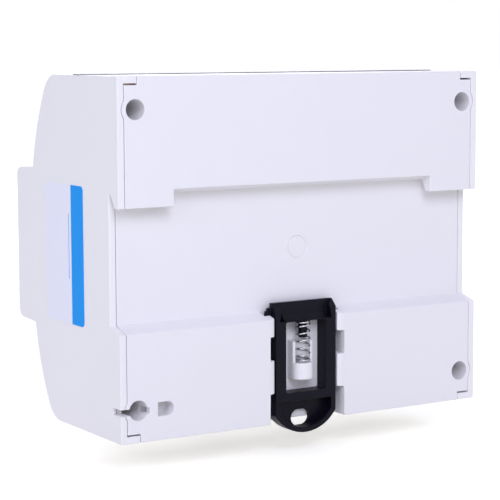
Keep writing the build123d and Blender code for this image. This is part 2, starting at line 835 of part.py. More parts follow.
def surge_varistors():
    """Three disc varistors, one for each phase, that stand on their two leads."""
    discs = []
    radius = varistor_size / 2
    for x in varistor_xs:
        centre = Pos(x, seat_depth - power_board_front - varistor_lift - radius, varistor_z)
        disc = centre * Rot(0, 90, 0) * Cylinder(radius, varistor_thickness)
        disc = fillet(disc.edges().filter_by(GeomType.CIRCLE), varistor_round)
        for z in (varistor_z - radius / 2, varistor_z + radius / 2):
            disc += rod(x, z, varistor_lead, power_board_front, power_board_front + radius)
        discs.append(disc)
    return Compound(children=discs)


def lcd_frame():
    """White holder of the liquid crystal panel: a tray with the light guide as its floor."""
    width, height = lcd_width + 2 * frame_margin, lcd_height + 2 * frame_margin
    tray = plate(glass_x, glass_z, width, height, display_board_front, lcd_depth + lcd_thickness)
    gap = 2 * fit_gap
    return tray - plate(glass_x, glass_z, lcd_width + gap, lcd_height + gap, lcd_depth, case_depth)


def lcd_panel():
    """Glass sandwich of the display."""
    return plate(glass_x, glass_z, lcd_width, lcd_height, lcd_depth, lcd_depth + lcd_thickness)


def display_window():
    """Clear window set flush into the front of the display block."""
    size = RectangleRounded(glass_width - 2 * fit_gap, glass_height - 2 * fit_gap, glass_corner)
    rear = case_depth - glass_thickness - fit_gap
    return extrude(rear_plane(rear) * Pos(glass_x, glass_z) * size, amount=glass_thickness)


def pulse_lamps():
    """Round pulse lamps that stand on the display board and reach through the front."""
    lamps = [rod(x, z, lamp_size, display_board_front, case_depth + lamp_proud) for x, z in lamp_places]
    return Compound(children=[fillet(lamp.edges().group_by(Axis.Y)[0], lamp_size / 4) for lamp in lamps])


def scroll_button():
    """Push button: round cap with a flange that stops it behind the front wall."""
    flange_front = lens_plane - fit_gap
    cap = rod(button_x, button_z, button_size, flange_front, case_depth + button_proud)
    cap = fillet(cap.edges().group_by(Axis.Y)[0], button_edge)
    return cap + rod(button_x, button_z, button_flange, flange_front - button_flange_thickness, flange_front)


def tact_switch():
    """Switch under the button: square body and a round plunger."""
    top = lens_plane - fit_gap - button_flange_thickness - button_travel - seam
    body = plate(button_x, button_z, switch_size, switch_size, display_board_front, top - plunger_height)
    return body + rod(button_x, button_z, plunger_size, display_board_front, top)


def signal_terminal():
    """Small six-way terminal strip on the deck for pulse and data wires."""
    half = signal_ways * signal_spacing / 2
    low, high = deck_front + signal_entry_start, deck_front + signal_entry_end
    strip = block(-half, half, deck_front, deck_front + signal_height, signal_low, signal_high)
    for x, z in signal_places:
        arm = signal_entry / 2
        strip -= block(x - arm, x + arm, low, high, signal_low - over, signal_low + signal_entry_length)
        strip -= rod(x, z, signal_screw + 2 * fit_gap, high - over, case_depth)
    return strip


def signal_screws():
    """Six slotted screws of the signal strip."""
    screws = []
    rear = deck_front + signal_entry_end
    front = rear + signal_screw_length
    for x, z in signal_places:
        slot = Pos(x, z) * Rectangle(2 * signal_screw, signal_screw_slot)
        screw = rod(x, z, signal_screw, rear, front)
        screws.append(screw - extrude(rear_plane(front - signal_screw_slot) * slot, amount=over))
    return Compound(children=screws)


def case_screws():
    """Four cross screws at the bottom of the rear holes, driven into the posts of the front shell."""
    return Compound(children=[
        cross_screw(x, z, screw_head, screw_head_height, screw_shank, screw_reach, screw_floor_depth)
        for x, z in screw_places
    ])


def side_label():
    """Paper label on one side wall."""
    centre = label_rear_depth + label_width / 2
    size = RectangleRounded(label_width, label_height, label_corner)
    return extrude(side_plane(case_half + film) * Pos(centre, -label_drop) * size, amount=film)


def top_strip():
    """Dark film along the rear part of the top face."""
    half = case_half - strip_end_gap
    rear = base_depth + strip_rear_gap
    return block(-half, half, rear, rear + strip_width, case_top, case_top + strip_thickness)


def all_nodes():
    """Every sub-part by its node name."""
    nodes = {
        "rear_base": rear_base(),
        "front_shell": front_shell(),
        "terminal_cover_top": terminal_cover(1),
        "terminal_cover_bottom": terminal_cover(-1),
        "cover_screws": Compound(children=[cover_screw(x, z) for x, z in cover_places]),
        "case_screws": case_screws(),
        "rail_clip": rail_clip(),
        "clip_spring": clip_spring(),
        "display_window": display_window(),
        "lcd_panel": lcd_panel(),
        "lcd_frame": lcd_frame(),
        "display_board": display_board(),
        "board_screws": board_screws(),
        "power_board": circuit_board(power_board_depth),
        "board_spacers": board_spacers(),
        "board_header": board_header(),
        "metering_chip": metering_chip(),
        "rtc_battery": rtc_battery(),
        "supply_transformer": supply_transformer(),
        "filter_capacitors": filter_capacitors(),
        "surge_varistors": surge_varistors(),
        "pulse_lamps": pulse_lamps(),
        "scroll_button": scroll_button(),
        "tact_switch": tact_switch(),
        "signal_terminal": signal_terminal(),
        "signal_screws": signal_screws(),
        "terminal_screws_top": clamp_screws(1),
        "terminal_screws_bottom": clamp_screws(-1),
        "side_label": side_label(),
        "top_strip": top_strip(),
    }
    for number, x in enumerate(terminal_xs[:3], 1):
        nodes[f"current_transformer_{number}"] = current_transformer(x)
        nodes[f"phase_bar_{number}"] = bus_bar(x)
    nodes["neutral_bar"] = bus_bar(terminal_xs[3])
    for name, x in zip(("phase_1", "phase_2", "phase_3", "neutral"), terminal_xs):
        nodes[f"terminal_{name}_top"] = terminal_block(x, 1)
        nodes[f"terminal_{name}_bottom"] = terminal_block(x, -1)
    return nodes


os.makedirs("parts", exist_ok=True)
for node_name, solid in all_nodes().items():
    export_step(solid, f"parts/{node_name}.step")
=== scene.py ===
import json

import bmesh
import bpy
import numpy as np
from mathutils import Matrix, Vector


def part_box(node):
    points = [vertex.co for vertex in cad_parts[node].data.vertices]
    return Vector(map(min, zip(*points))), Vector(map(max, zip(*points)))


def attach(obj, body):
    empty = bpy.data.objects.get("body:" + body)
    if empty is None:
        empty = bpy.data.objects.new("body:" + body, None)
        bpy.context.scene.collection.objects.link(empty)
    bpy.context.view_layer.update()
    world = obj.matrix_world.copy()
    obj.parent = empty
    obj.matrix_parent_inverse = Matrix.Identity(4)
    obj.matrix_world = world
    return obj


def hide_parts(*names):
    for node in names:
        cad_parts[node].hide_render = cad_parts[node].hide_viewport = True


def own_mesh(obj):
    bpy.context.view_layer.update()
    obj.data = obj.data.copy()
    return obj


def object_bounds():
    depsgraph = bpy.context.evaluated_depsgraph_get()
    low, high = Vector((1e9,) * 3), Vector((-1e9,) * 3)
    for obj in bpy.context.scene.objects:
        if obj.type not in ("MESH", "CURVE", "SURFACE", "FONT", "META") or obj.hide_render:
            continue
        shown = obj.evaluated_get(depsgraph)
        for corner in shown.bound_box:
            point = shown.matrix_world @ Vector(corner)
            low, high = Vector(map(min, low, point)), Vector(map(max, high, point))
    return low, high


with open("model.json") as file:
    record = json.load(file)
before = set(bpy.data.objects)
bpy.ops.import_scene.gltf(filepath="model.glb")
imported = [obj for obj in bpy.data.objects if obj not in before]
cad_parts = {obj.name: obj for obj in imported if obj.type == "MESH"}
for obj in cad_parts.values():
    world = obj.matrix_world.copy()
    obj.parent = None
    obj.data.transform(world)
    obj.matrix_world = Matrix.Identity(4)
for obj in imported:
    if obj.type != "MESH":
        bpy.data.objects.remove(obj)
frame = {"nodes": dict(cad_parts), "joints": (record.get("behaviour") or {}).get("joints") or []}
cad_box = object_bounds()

MM = 0.001


# Rear base: white ABS tray, injection moulded in one shot. It carries the rail recess with its
# two hooks, the channel and the cup for the clip, and the holes of the case screws. It drops
# into the front shell, and four corner tabs of the shell locate it.

def linear(hex_colour):
    """Linear RGBA of an sRGB hex colour: the low part is divided by 12.92, the rest is a 2.4 power."""
    values = np.array([int(hex_colour[i:i + 2], 16) for i in (1, 3, 5)]) / 255
    curve = np.where(values <= 0.04045, values / 12.92, ((values + 0.055) / 1.055) ** 2.4)
    return (*curve, 1.0)


def add_node(tree, kind, values=None, links=None, **properties):
    """Adds a node to a tree, sets its properties and input values, and links inputs to given outputs."""
    node = tree.nodes.new(kind)
    for name, value in properties.items():
        setattr(node, name, value)
    for socket, value in (values or {}).items():
        node.inputs[socket].default_value = value
    for socket, source in (links or {}).items():
        tree.links.new(source, node.inputs[socket])
    return node


def start_material(name, **values):
    """New material with one Principled shader set to plain values; returns it, its tree and its places."""
    material = bpy.data.materials.new(name)
    material.use_nodes = True
    tree = material.node_tree
    shader = tree.nodes["Principled BSDF"]
    for socket, value in values.items():
        shader.inputs[socket.replace("_", " ")].default_value = value
    places = add_node(tree, "ShaderNodeTexCoord").outputs["Object"]
    return material, tree, shader, places


def moulded_plastic(name, colour, roughness, ior, grain, depth, drift=0.03, **values):
    """Moulded plastic. The colour drifts by a few per cent over centimetres, as pigment does in a melt,
    and a fine noise is the grain that the spark-eroded tool leaves: grain and depth are in mm."""
    material, tree, shader, places = start_material(name, IOR=ior, **values)
    cloud = add_node(
        tree, "ShaderNodeTexNoise", {"Scale": 1 / (24 * MM), "Detail": 3.0}, {"Vector": places})
    tone = add_node(tree, "ShaderNodeMix", links={"Factor": cloud.outputs["Fac"]}, data_type="RGBA")
    base = np.array(linear(colour))
    tone.inputs["A"].default_value = (*(base[:3] * (1 - drift)), 1.0)
    tone.inputs["B"].default_value = (*np.minimum(base[:3] * (1 + drift), 1.0), 1.0)
    tree.links.new(tone.outputs["Result"], shader.inputs["Base Color"])
    grit = add_node(
        tree, "ShaderNodeTexNoise", {"Scale": 1 / (grain * MM), "Detail": 2.0, "Roughness": 0.6},
        {"Vector": places})
    matt = add_node(
        tree, "ShaderNodeMapRange", {"To Min": roughness - 0.05, "To Max": roughness + 0.05},
        {"Value": grit.outputs["Fac"]})
    tree.links.new(matt.outputs["Result"], shader.inputs["Roughness"])
    bump = add_node(
        tree, "ShaderNodeBump", {"Strength": 1.0, "Distance": depth * MM}, {"Height": grit.outputs["Fac"]})
    tree.links.new(bump.outputs["Normal"], shader.inputs["Normal"])
    return material


def edge_rooms(face):
    """Free width beside each edge of a flat face: the least distance at which a corner of the face stands
    square off the edge, or at which an end of the edge stands square off another edge that it doesn't
    touch. Square off means that the corner's foot falls between the ends of the edge."""
    ends = np.array([[vert.co for vert in edge.verts] for edge in face.edges])
    names = np.array([[vert.index for vert in edge.verts] for edge in face.edges])
    ahead = ends[:, 1] - ends[:, 0]
    offset = ends[:, :, None] - ends[:, 0]
    share = (offset * ahead).sum(-1) / (ahead ** 2).sum(-1)
    gap = np.linalg.norm(offset - share[..., None] * ahead, axis=-1)
    gap[(share < -0.01) | (share > 1.01) | (gap < 1e-4 * MM)] = np.inf
    gap = gap.min(axis=1)
    touching = (names[:, :, None, None] == names).any(axis=(1, 3))
    return np.minimum(gap.min(axis=0), np.where(touching, np.inf, gap).min(axis=1))


def runs_on(edge, vert, other):
    """True where the other edge goes on from the vertex within 40 degrees of the edge's direction."""
    arriving = vert.co - edge.other_vert(vert).co
    leaving = other.other_vert(vert).co - vert.co
    return arriving.angle(leaving) < np.radians(40)


def soft_edged(node, radius, least_angle=28.0):
    """Copy of a CAD node with small rounds on its edges, as a mould gives them. Doubles are merged and
    flat faces joined. Each edge sharper than least_angle is bevelled by radius (mm), or by 0.4 of the free
    width beside it where a face is narrow there. Edges that run on in one line share the least width."""
    source = frame["nodes"][node]
    source_mesh = source.data
    points = np.empty(len(source_mesh.vertices) * 3, np.float32)
    source_mesh.vertices.foreach_get("co", points)
    corners = np.empty(len(source_mesh.loops), np.int32)
    source_mesh.loops.foreach_get("vertex_index", corners)
    mesh = bpy.data.meshes.new(f"{node}_soft")
    mesh.from_pydata(points.reshape(-1, 3), [], corners.reshape(-1, 3))

    shape = bmesh.new()
    shape.from_mesh(mesh)
    same_place = 0.002 * MM
    bmesh.ops.remove_doubles(shape, verts=shape.verts, dist=same_place)
    bmesh.ops.dissolve_degenerate(shape, edges=shape.edges, dist=same_place)
    bmesh.ops.dissolve_limit(
        shape, angle_limit=np.radians(0.6), verts=shape.verts, edges=shape.edges,
        use_dissolve_boundaries=False)
    weight = shape.edges.layers.float.new("bevel_weight_edge")
    shape.verts.index_update()
    for edge in shape.edges:
        edge[weight] = float(edge.calc_face_angle() > np.radians(least_angle))
    for face in shape.faces:
        if any(edge[weight] > 0 for edge in face.edges):
            for edge, room in zip(face.edges, edge_rooms(face)):
                edge[weight] = min(edge[weight], 0.4 * room / (radius * MM))
    settled = set()
    for first in sorted(shape.edges, key=lambda edge: edge[weight]):
        line = [first] if first[weight] > 0 else []
        while line:
            edge = line.pop()
            if edge not in settled:
                settled.add(edge)
                edge[weight] = first[weight]
                line += [other for vert in edge.verts for other in vert.link_edges
                         if other not in settled and other[weight] > 0 and runs_on(edge, vert, other)]
    for face in shape.faces:
        face.smooth = True
    shape.to_mesh(mesh)
    shape.free()

    piece = bpy.data.objects.new(f"{node}_soft", mesh)
    bpy.context.scene.collection.objects.link(piece)
    rounds = piece.modifiers.new("rounds", "BEVEL")
    rounds.limit_method = "WEIGHT"
    rounds.width = radius * MM
    rounds.segments = 2
    rounds.use_clamp_overlap = False
    facing = piece.modifiers.new("facing", "WEIGHTED_NORMAL")
    facing.keep_sharp = True
    return piece


def dress(piece, material, body="case", stands_for=None):
    """Gives a new piece its one material and its body, and hides the CAD nodes it stands for."""
    piece.data.materials.clear()
    piece.data.materials.append(material)
    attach(piece, body)
    if stands_for:
        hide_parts(*stands_for)


def paint(material, *nodes):
    """Puts a material on CAD nodes that keep their own mesh."""
    for node in nodes:
        mesh = frame["nodes"][node].data
        mesh.materials.clear()
        mesh.materials.append(material)


# white ABS: satin, with the soft grain that the mould's spark erosion leaves; the grain is
# about 0.05 mm on the real case and is drawn 0.35 mm wide so that it shows
case_abs = moulded_plastic("abs_white_moulded", "#EAE8E8", 0.46, 1.54, grain=0.35, depth=0.008, drift=0.012)
dress(soft_edged("rear_base", 0.22), case_abs, stands_for=["rear_base"])


# Rail clip: black glass-filled nylon, moulded flat. It snaps under four lips of the channel,
# slides down when its tab is pulled, and its sloped nose rides over the rail's lower edge.

# black nylon: a satin skin with faint streaks where the glass fibre lies along the flow
clip_nylon = moulded_plastic(
    "nylon_black_glass_filled", "#0B0A16", 0.38, 1.53, grain=0.45, depth=0.012, drift=0.10,
    Specular_IOR_Level=0.11)
dress(soft_edged("rail_clip", 0.28), clip_nylon, "clip", ["rail_clip"])


# Clip spring: cold-drawn steel wire, coiled with closed ends. It stands in the cup of the base
# and pushes the clip up from inside its window.

def tube_mesh(name, path, radius, sides=10):
    """Round wire: a circle of sides points carried along a path of points, with closed flat ends.
    At each point the circle lies across the path's direction, on the axes outward and binormal."""
    ahead = np.gradient(path, axis=0)
    ahead /= np.linalg.norm(ahead, axis=1, keepdims=True)
    across = np.cross(ahead, (0.0, 0.0, 1.0))
    across /= np.linalg.norm(across, axis=1, keepdims=True)
    third = np.cross(ahead, across)
    turn = np.linspace(0, 2 * np.pi, sides, endpoint=False)
    ring = np.cos(turn)[None, :, None] * across[:, None] + np.sin(turn)[None, :, None] * third[:, None]
    points = (path[:, None] + radius * ring).reshape(-1, 3)
    step, side = np.meshgrid(np.arange(len(path) - 1), np.arange(sides), indexing="ij")
    nearest, following = side, (side + 1) % sides
    walls = np.stack([
        step * sides + nearest, step * sides + following,
        (step + 1) * sides + following, (step + 1) * sides + nearest], axis=-1).reshape(-1, 4)
    ends = [list(range(sides))[::-1], list(range(len(points) - sides, len(points)))]
    mesh = bpy.data.meshes.new(name)
    mesh.from_pydata(points, [], walls.tolist() + ends)
    tidy = bmesh.new()
    tidy.from_mesh(mesh)
    bmesh.ops.recalc_face_normals(tidy, faces=tidy.faces)
    for face in tidy.faces:
        face.smooth = len(face.verts) == 4
    tidy.to_mesh(mesh)
    tidy.free()
    piece = bpy.data.objects.new(name, mesh)
    bpy.context.scene.collection.objects.link(piece)
    return piece


def metal(name, colour, roughness, mark, depth, stretch=(1.0, 1.0, 1.0), drift=0.12, **values):
    """Bare or plated metal. A stretched noise of mark mm is what the tool or the drawing die leaves: it
    drives a small bump of depth mm, and the roughness and colour drift with it."""
    material, tree, shader, places = start_material(name, Metallic=1.0, **values)
    turned = add_node(tree, "ShaderNodeMapping", {"Scale": stretch}, {"Vector": places})
    marks = add_node(
        tree, "ShaderNodeTexNoise", {"Scale": 1 / (mark * MM), "Detail": 3.0},
        {"Vector": turned.outputs["Vector"]})
    base = np.array(linear(colour))
    tone = add_node(tree, "ShaderNodeMix", links={"Factor": marks.outputs["Fac"]}, data_type="RGBA")
    tone.inputs["A"].default_value = (*(base[:3] * (1 - drift)), 1.0)
    tone.inputs["B"].default_value = (*np.minimum(base[:3] * (1 + drift), 1.0), 1.0)
    tree.links.new(tone.outputs["Result"], shader.inputs["Base Color"])
    matt = add_node(
        tree, "ShaderNodeMapRange", {"To Min": roughness - 0.08, "To Max": roughness + 0.08},
        {"Value": marks.outputs["Fac"]})
    tree.links.new(matt.outputs["Result"], shader.inputs["Roughness"])
    bump = add_node(
        tree, "ShaderNodeBump", {"Strength": 1.0, "Distance": depth * MM}, {"Height": marks.outputs["Fac"]})
    tree.links.new(bump.outputs["Normal"], shader.inputs["Normal"])
    return material


spring_low, spring_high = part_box("clip_spring")
wire = 0.25 * MM
coil = (spring_high.x - spring_low.x) / 2 - wire
coil_turns = 7.0
closed_turn = 1.0
points_per_turn = 28
along = np.linspace(0, 1, int(coil_turns * points_per_turn))
# the rise is slow over the first and the last turn, where the coils close on each other
ease = np.clip((along * coil_turns - closed_turn) / (coil_turns - 2 * closed_turn), 0, 1)
closed = np.clip(along * coil_turns, 0, closed_turn) + np.clip(
    along * coil_turns - (coil_turns - closed_turn), 0, closed_turn)
open_rise = spring_high.z - spring_low.z - 2 * wire - 2 * closed_turn * 2 * wire
spring_z = spring_low.z + wire + closed * 2 * wire + ease * open_rise
# the wire starts half a turn round, on the side away from the label
angle = np.pi + 2 * np.pi * coil_turns * along
spring_y = (spring_low.y + spring_high.y) / 2
spring_path = np.stack([coil * np.cos(angle), spring_y + coil * np.sin(angle), spring_z], axis=-1)
spring = tube_mesh("clip_spring_coil", spring_path, wire)
# drawn spring steel: bright grey, with fine lines along the wire
spring_steel = metal("steel_spring_drawn", "#B4B4B8", 0.22, mark=0.4, depth=0.004, drift=0.12)
dress(spring, spring_steel, stands_for=["clip_spring"])
clip_travel = next(joint for joint in frame["joints"] if joint["name"] == "clip_slide")["range_m"][1]
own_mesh(spring)


# Front shell: white ABS, moulded as one deep cap with the side walls, the deck in front of the
# terminals and the raised display block. Four posts take the case screws from the rear.

# the shell is the same white ABS as the base, painted a trace paler as painted light that brightens its side
# walls
shell_abs_painted_lighter = moulded_plastic(
    "abs_white_shell_painted_lighter", "#EDEBEA", 0.46, 1.54, grain=0.35, depth=0.008, drift=0.012)
dress(soft_edged("front_shell", 0.22), shell_abs_painted_lighter, stands_for=["front_shell"])


# Terminals: brass blocks, sawn from bar and drilled, in pockets of the shell. A copper bar joins
# the two blocks of each conductor, and slotted steel screws clamp the wires from the front.

conductors = ("phase_1", "phase_2", "phase_3", "neutral")
# brass: warm yellow, with the fine lines of the saw across it
terminal_brass = metal(
    "brass_sawn", "#CDB070", 0.33, mark=0.5, depth=0.008, stretch=(1.0, 1.0, 0.12))
paint(terminal_brass, *[f"terminal_{name}_{end}" for name in conductors for end in ("top", "bottom")])
# copper: rolled strip, a little darker where it has begun to tarnish
bar_copper = metal(
    "copper_rolled", "#C47F58", 0.36, mark=1.6, depth=0.004, stretch=(1.0, 1.0, 0.15), drift=0.2)
paint(bar_copper, "phase_bar_1", "phase_bar_2", "phase_bar_3", "neutral_bar")
# zinc-plated steel: pale, faintly blue and a little cloudy
screw_zinc = metal("steel_zinc_plated", "#B9BBBF", 0.30, mark=0.8, depth=0.003, drift=0.10)
paint(screw_zinc, "terminal_screws_top", "terminal_screws_bottom", "board_screws")


# Current transformers: a wound ring cast in black epoxy around each phase bar, on a foot that
# stands on the power board.

# cast epoxy: black, smooth and glossy, with the slow waves of a poured surface
ring_epoxy = moulded_plastic("epoxy_black_cast", "#18181B", 0.24, 1.55, grain=2.5, depth=0.02, drift=0.2)
paint(ring_epoxy, *[f"current_transformer_{number}" for number in (1, 2, 3)])


# Power board and display board: glass-epoxy laminate under green solder mask, joined by four
# hexagonal brass pillars and a plug strip. The large parts on them are each their own piece.

def solder_mask(name, colour, trace_colour):
    """Board surface: brick outlines 2.5 mm by 1.3 mm are the copper tracks under the mask, which show a
    lighter green and stand 0.035 mm proud."""
    material, tree, shader, places = start_material(name, IOR=1.52, Roughness=0.32)
    upright = add_node(
        tree, "ShaderNodeMapping", {"Rotation": (np.pi / 2, 0.0, 0.0)}, {"Vector": places})
    tracks = add_node(
        tree, "ShaderNodeTexBrick",
        {"Color1": linear(colour), "Color2": linear(colour), "Mortar": linear(trace_colour), "Scale": 1.0,
         "Mortar Size": 0.14 * MM, "Mortar Smooth": 0.1, "Brick Width": 2.5 * MM, "Row Height": 1.3 * MM},
        {"Vector": upright.outputs["Vector"]})
    tree.links.new(tracks.outputs["Color"], shader.inputs["Base Color"])
    bump = add_node(
        tree, "ShaderNodeBump", {"Strength": 1.0, "Distance": 0.035 * MM}, {"Height": tracks.outputs["Fac"]})
    tree.links.new(bump.outputs["Normal"], shader.inputs["Normal"])
    return material


# green mask: glossy dark green, lighter where a copper track lies under it
board_mask = solder_mask("solder_mask_green", "#14532D", "#2A7A46")
paint(board_mask, "power_board", "display_board")
pillar_brass = metal("brass_turned", "#C9A75E", 0.28, mark=0.3, depth=0.004, stretch=(1.0, 6.0, 1.0))
paint(pillar_brass, "board_spacers")
# black phenolic and epoxy packages: matt, with a fine sandy skin
package_black = moulded_plastic(
    "epoxy_black_package", "#1B1B1C", 0.55, 1.50, grain=0.25, depth=0.01, drift=0.1)
paint(package_black, "board_header", "metering_chip", "tact_switch")
cell_steel = metal("steel_nickel_plated", "#C6C5C0", 0.22, mark=0.5, depth=0.002, drift=0.06)
paint(cell_steel, "rtc_battery")
# varnished laminations: dark iron sheets 0.5 mm thick, so lines run along the stack
core_iron = metal("iron_laminated_varnished", "#3E3D40", 0.45, mark=0.5, depth=0.05, stretch=(1.0, 0.05, 1.0))
paint(core_iron, "supply_transformer")
# shrink sleeve: dark blue-black film, smooth and glossy
sleeve_film = moulded_plastic("pvc_sleeve_shrunk", "#10162B", 0.22, 1.53, grain=3.0, depth=0.01, drift=0.15)
paint(sleeve_film, "filter_capacitors")
# dipped coating: blue epoxy with the orange-peel surface of a powder dip
varistor_coat = moulded_plastic("epoxy_blue_dipped", "#1D4C94", 0.35, 1.52, grain=0.6, depth=0.03, drift=0.1)
paint(varistor_coat, "surge_varistors")


# Display: a liquid crystal panel in a white holder on the display board, behind a clear
# polycarbonate window that is bonded flush into the front of the shell.

holder_abs = moulded_plastic("abs_white_holder", "#DEDDD8", 0.5, 1.54, grain=0.3, depth=0.008, drift=0.02)
paint(holder_abs, "lcd_frame")
# polarizer film: grey-green and satin, with an even tone
panel_film = moulded_plastic(
    "polarizer_film_satin", "#9DAA97", 0.28, 1.50, grain=0.12, depth=0.001, drift=0.015)
paint(panel_film, "lcd_panel")

window_clear, window_tree, window_shader, window_places = start_material(
    "polycarbonate_clear", IOR=1.58, Transmission_Weight=1.0, Base_Color=linear("#F4F7F7"))
window_haze = add_node(
    window_tree, "ShaderNodeTexNoise", {"Scale": 1 / (6 * MM), "Detail": 4.0}, {"Vector": window_places})
window_matt = add_node(
    window_tree, "ShaderNodeMapRange", {"To Min": 0.03, "To Max": 0.08},
    {"Value": window_haze.outputs["Fac"]})
window_tree.links.new(window_matt.outputs["Result"], window_shader.inputs["Roughness"])
paint(window_clear, "display_window")


def segment_plates(name, left, low, height, digits, thickness, front):
    """Seven-segment digits as thin hexagonal plates on a plane that faces -Y. A segment is a bar with
    pointed ends between two neighbouring corners of a digit's 2 by 3 grid of points, inset by a gap."""
    width, pitch, bar, gap = 0.52 * height, 0.80 * height, 0.13 * height, 0.03 * height
    grid = np.array([(x, z) for z in (0, height / 2, height) for x in (0, width)], float)
    ends = np.array([(0, 1), (2, 3), (4, 5), (0, 2), (1, 3), (2, 4), (3, 5)])
    start, finish = grid[ends[:, 0]], grid[ends[:, 1]]
    ahead = (finish - start) / np.linalg.norm(finish - start, axis=1, keepdims=True)
    aside = ahead[:, ::-1] * (-1, 1)
    start, finish = start + ahead * gap, finish - ahead * gap
    half = bar / 2
    outline = np.stack([
        start, start + (ahead + aside) * half, finish + (aside - ahead) * half,
        finish, finish - (ahead + aside) * half, start + (ahead - aside) * half], axis=1)
    slant = outline[..., 1:] * np.array([0.09, 0.0])
    offsets = np.arange(digits)[:, None, None, None] * np.array([pitch, 0.0])
    flat = (outline + slant)[None] + offsets + (left, low)
    flat = flat.reshape(-1, 6, 2)
    near = np.stack([flat[..., 0], np.full(flat.shape[:2], front), flat[..., 1]], axis=-1)
    far = near + (0.0, thickness, 0.0)
    points = np.concatenate([near, far], axis=1).reshape(-1, 3)
    first = np.arange(len(flat))[:, None] * 12
    around = np.arange(6)
    faces = [*(first + around).tolist(), *(first + around[::-1] + 6).tolist()]
    sides = np.stack([around, around + 6, (around + 1) % 6 + 6, (around + 1) % 6], axis=-1)
    faces += (first[:, None] + sides[None]).reshape(-1, 4).tolist()
    mesh = bpy.data.meshes.new(name)
    mesh.from_pydata(points, [], faces)
    tidy = bmesh.new()
    tidy.from_mesh(mesh)
    bmesh.ops.recalc_face_normals(tidy, faces=tidy.faces)
    tidy.to_mesh(mesh)
    tidy.free()
    piece = bpy.data.objects.new(name, mesh)
    bpy.context.scene.collection.objects.link(piece)
    return piece


panel_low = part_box("lcd_panel")[0]
digit_height = 12.0 * MM
digit_margin = 5.0 * MM
digit_count = 5
segment_thickness = 0.02 * MM
segments = segment_plates(
    "lcd_segments", panel_low.x + digit_margin, panel_low.z + digit_margin, digit_height, digit_count,
    segment_thickness, panel_low.y - segment_thickness)
# liquid crystal at rest: each segment is only a shade darker than the film around it
segment_film = moulded_plastic(
    "polarizer_film_segment", "#7C8878", 0.28, 1.50, grain=0.12, depth=0.001, drift=0.02)
dress(segments, segment_film)


# Pulse lamps and scroll button: two tinted epoxy lamps reach through the front beside the
# display, and a grey ABS button stands over the switch on the display board.

lamp_epoxy, lamp_tree, lamp_shader, lamp_places = start_material(
    "epoxy_red_tinted", IOR=1.54, Transmission_Weight=0.35)
lamp_cloud = add_node(
    lamp_tree, "ShaderNodeTexNoise", {"Scale": 1 / (2 * MM), "Detail": 2.0}, {"Vector": lamp_places})
lamp_tone = add_node(
    lamp_tree, "ShaderNodeMix", {"A": linear("#A3100F"), "B": linear("#C81D18")},
    {"Factor": lamp_cloud.outputs["Fac"]}, data_type="RGBA")
lamp_tree.links.new(lamp_tone.outputs["Result"], lamp_shader.inputs["Base Color"])
lamp_shader.inputs["Roughness"].default_value = 0.12
paint(lamp_epoxy, "pulse_lamps")
button_abs = moulded_plastic("abs_grey_button", "#6B6D72", 0.42, 1.54, grain=0.3, depth=0.01, drift=0.03)
dress(soft_edged("scroll_button", 0.2), button_abs, "button", ["scroll_button"])


# Signal strip: green polyamide block with six small screw clamps for the pulse and data wires,
# on the deck under the lower cover.

strip_polyamide = moulded_plastic(
    "polyamide_green", "#2E7A49", 0.45, 1.53, grain=0.3, depth=0.012, drift=0.06)
dress(soft_edged("signal_terminal", 0.15), strip_polyamide, stands_for=["signal_terminal"])
paint(screw_zinc, "signal_screws")


# Terminal covers: two white ABS shells that carry the curve of the front over the clamp screws.
# A slotted screw on each side holds them down, sunk in a round recess.

# the covers take the shell's white, which is painted a trace paler as painted light
for cover in ("terminal_cover_top", "terminal_cover_bottom"):
    dress(soft_edged(cover, 0.22), shell_abs_painted_lighter, stands_for=[cover])
dress(soft_edged("cover_screws", 0.18), screw_zinc, stands_for=["cover_screws"])


# Case screws: four zinc-plated cross screws at the bottom of the deep holes in the rear. They
# hold the base in the front shell and bite into its posts.

dress(soft_edged("case_screws", 0.15), screw_zinc, stands_for=["case_screws"])


# Side label and top strip: a self-adhesive coated paper label with a plain blue band on one side wall, and a
# thin dark grey strip along the rear of the top face, which is painted shade for the dark shadow line along
# the top edge.

label_low, label_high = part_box("side_label")
band_width = 7.5 * MM
rule_inset = 9.0 * MM
rule_width = 0.3 * MM
label_height = label_high.z - label_low.z
rule_centre = label_high.z - 0.44 * label_height
rule_half_length = 0.235 * label_height
label_paper, label_tree, label_shader, label_places = start_material(
    "paper_label_coated", IOR=1.48, Specular_IOR_Level=0.06)
label_axes = add_node(label_tree, "ShaderNodeSeparateXYZ", links={"Vector": label_places})
in_band = add_node(
    label_tree, "ShaderNodeMath", {1: label_high.y - band_width}, {0: label_axes.outputs["Y"]},
    operation="GREATER_THAN")
in_rule = add_node(
    label_tree, "ShaderNodeMath", {1: label_high.y - rule_inset, 2: rule_width / 2},
    {0: label_axes.outputs["Y"]},
    operation="COMPARE")
along_rule = add_node(
    label_tree, "ShaderNodeMath", {1: rule_centre, 2: rule_half_length}, {0: label_axes.outputs["Z"]},
    operation="COMPARE")
ruled = add_node(
    label_tree, "ShaderNodeMath", links={0: in_rule.outputs[0], 1: along_rule.outputs[0]},
    operation="MULTIPLY")
printed = add_node(
    label_tree, "ShaderNodeMath", links={0: in_band.outputs[0], 1: ruled.outputs[0]}, operation="MAXIMUM")
paper_fibre = add_node(
    label_tree, "ShaderNodeTexNoise", {"Scale": 1 / (0.5 * MM), "Detail": 3.0}, {"Vector": label_places})
paper_tone = add_node(
    label_tree, "ShaderNodeMix", {"A": linear("#EBECF5"), "B": linear("#EFF0F8")},
    {"Factor": paper_fibre.outputs["Fac"]}, data_type="RGBA")
ink_tone = add_node(
    label_tree, "ShaderNodeMix", {"B": linear("#0698EC")},
    {"Factor": printed.outputs[0], "A": paper_tone.outputs["Result"]}, data_type="RGBA")
label_tree.links.new(ink_tone.outputs["Result"], label_shader.inputs["Base Color"])
label_matt = add_node(
    label_tree, "ShaderNodeMapRange", {"To Min": 0.30, "To Max": 0.42}, {"Value": paper_fibre.outputs["Fac"]})
